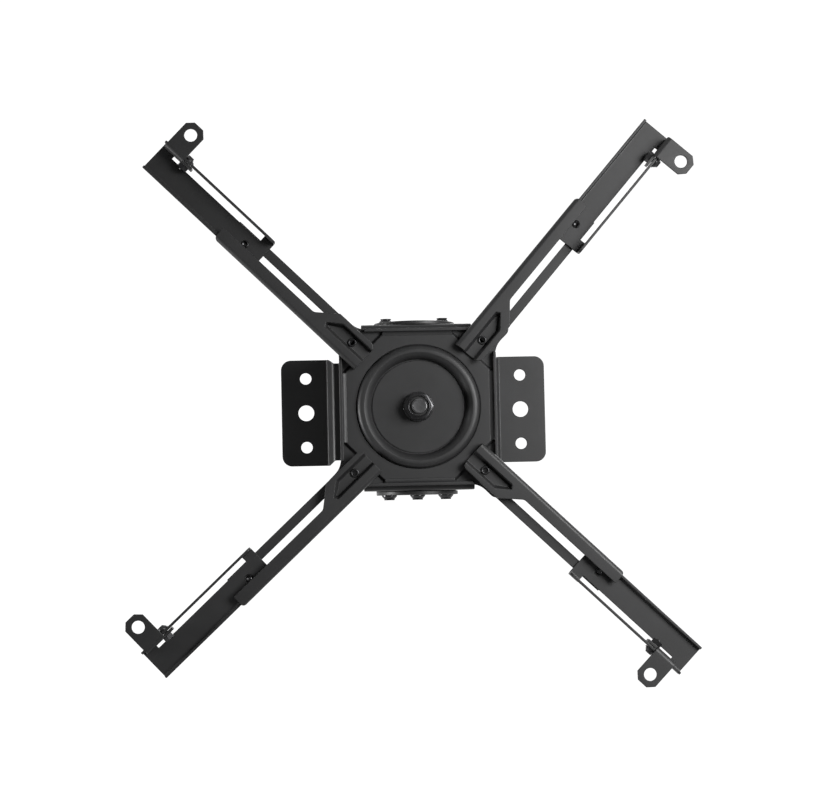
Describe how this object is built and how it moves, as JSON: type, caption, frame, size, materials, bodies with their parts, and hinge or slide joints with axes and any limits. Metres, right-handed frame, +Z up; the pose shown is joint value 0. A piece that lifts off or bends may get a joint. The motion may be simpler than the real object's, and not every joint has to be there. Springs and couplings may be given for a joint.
{
  "type": "projector ceiling mount",
  "caption": "Ceiling mount for a projector: a folded bracket holds a tilting cradle, a swivelling pressed plate and telescopic arms that end in sliding lugs.",
  "frame": {"origin": "the middle of the ceiling face, between the two flanges of the ceiling bracket", "axes": "+Z up into the ceiling, +X along the row of the two flanges, +Y along the tilt axis; the picture looks up from below with +X to its right and +Y to its bottom"},
  "size_m": [0.383, 0.38, 0.0873],
  "materials": {
    "black_coat": "satin black powder coat on folded steel sheet",
    "black_screws": "black zinc on steel fasteners",
    "friction_nylon": "black nylon"
  },
  "bodies": {
    "ceiling": {"ceiling_bracket": "black_coat"},
    "cradle": {"tilt_cradle": "black_coat", "tilt_clamp_bolts": "black_screws", "tilt_clamp_washers": "black_screws", "tilt_clamp_nuts": "black_screws", "tilt_pivot_bolt": "black_screws", "tilt_pivot_stud": "black_screws", "tilt_pivot_washers": "black_screws", "tilt_pivot_nuts": "black_screws", "friction_disc": "friction_nylon", "swivel_bolt": "black_screws", "swivel_washer": "black_screws", "swivel_nut": "black_screws"},
    "spider": {"spider_plate": "black_coat"},
    "inner_front_left": {"inner_arm_front_left": "black_coat", "corner_rivet_front_left": "black_screws", "corner_spacer_front_left": "black_screws"},
    "outer_front_left": {"outer_arm_front_left": "black_coat", "slide_screw_front_left": "black_screws", "slide_washer_front_left": "black_screws"},
    "lug_front_left_set": {"lug_front_left": "black_coat", "lug_bolt_front_left": "black_screws", "lug_washer_front_left": "black_screws", "lug_nut_front_left": "black_screws"},
    "inner_front_right": {"inner_arm_front_right": "black_coat", "corner_rivet_front_right": "black_screws", "corner_spacer_front_right": "black_screws"},
    "outer_front_right": {"outer_arm_front_right": "black_coat", "slide_screw_front_right": "black_screws", "slide_washer_front_right": "black_screws"},
    "lug_front_right_set": {"lug_front_right": "black_coat", "lug_bolt_front_right": "black_screws", "lug_washer_front_right": "black_screws", "lug_nut_front_right": "black_screws"},
    "inner_rear_left": {"inner_arm_rear_left": "black_coat", "corner_rivet_rear_left": "black_screws", "corner_spacer_rear_left": "black_screws"},
    "outer_rear_left": {"outer_arm_rear_left": "black_coat", "slide_screw_rear_left": "black_screws", "slide_washer_rear_left": "black_screws"},
    "lug_rear_left_set": {"lug_rear_left": "black_coat", "lug_bolt_rear_left": "black_screws", "lug_washer_rear_left": "black_screws", "lug_nut_rear_left": "black_screws"},
    "inner_rear_right": {"inner_arm_rear_right": "black_coat", "corner_rivet_rear_right": "black_screws", "corner_spacer_rear_right": "black_screws"},
    "outer_rear_right": {"outer_arm_rear_right": "black_coat", "slide_screw_rear_right": "black_screws", "slide_washer_rear_right": "black_screws"},
    "lug_rear_right_set": {"lug_rear_right": "black_coat", "lug_bolt_rear_right": "black_screws", "lug_washer_rear_right": "black_screws", "lug_nut_rear_right": "black_screws"}
  },
  "joints": [
    {"name": "tilt", "type": "hinge", "parent": "ceiling", "child": "cradle", "pos_m": [0, 0, -0.035], "axis": [0, 1, 0], "range_deg": [-15, 15]},
    {"name": "swivel", "type": "hinge", "parent": "cradle", "child": "spider", "pos_m": [0, 0, -0.0695], "axis": [0, 0, 1], "continuous": true},
    {"name": "front_left_swing", "type": "hinge", "parent": "spider", "child": "inner_front_left", "pos_m": [-0.0435, -0.0435, -0.0714], "axis": [0, 0, 1], "range_deg": [-6.2, 7.8]},
    {"name": "front_left_extension", "type": "slide", "parent": "inner_front_left", "child": "outer_front_left", "axis": [-0.7169, -0.6972, 0], "range_m": [-0.0567, 0.0045]},
    {"name": "front_left_lug_slide", "type": "slide", "parent": "outer_front_left", "child": "lug_front_left_set", "axis": [-0.7169, -0.6972, 0], "range_m": [-0.0645, 0.0065]},
    {"name": "front_right_swing", "type": "hinge", "parent": "spider", "child": "inner_front_right", "pos_m": [0.0435, -0.0435, -0.0714], "axis": [0, 0, 1], "range_deg": [-2.6, 11.4]},
    {"name": "front_right_extension", "type": "slide", "parent": "inner_front_right", "child": "outer_front_right", "axis": [0.6508, -0.7593, 0], "range_m": [-0.0602, 0.001]},
    {"name": "front_right_lug_slide", "type": "slide", "parent": "outer_front_right", "child": "lug_front_right_set", "axis": [0.6508, -0.7593, 0], "range_m": [-0.0658, 0.0052]},
    {"name": "rear_left_swing", "type": "hinge", "parent": "spider", "child": "inner_rear_left", "pos_m": [-0.0435, 0.0435, -0.0714], "axis": [0, 0, 1], "range_deg": [-8.9, 5.1]},
    {"name": "rear_left_extension", "type": "slide", "parent": "inner_rear_left", "child": "outer_rear_left", "axis": [-0.7302, 0.6833, 0], "range_m": [-0.058, 0.0032]},
    {"name": "rear_left_lug_slide", "type": "slide", "parent": "outer_rear_left", "child": "lug_rear_left_set", "axis": [-0.7302, 0.6833, 0], "range_m": [-0.0638, 0.0072]},
    {"name": "rear_right_swing", "type": "hinge", "parent": "spider", "child": "inner_rear_right", "pos_m": [0.0435, 0.0435, -0.0714], "axis": [0, 0, 1], "range_deg": [-5.6, 8.4]},
    {"name": "rear_right_extension", "type": "slide", "parent": "inner_rear_right", "child": "outer_rear_right", "axis": [0.7242, 0.6896, 0], "range_m": [-0.0612, 0]},
    {"name": "rear_right_lug_slide", "type": "slide", "parent": "outer_rear_right", "child": "lug_rear_right_set", "axis": [0.7242, 0.6896, 0], "range_m": [-0.0594, 0.0116]}
  ]
}
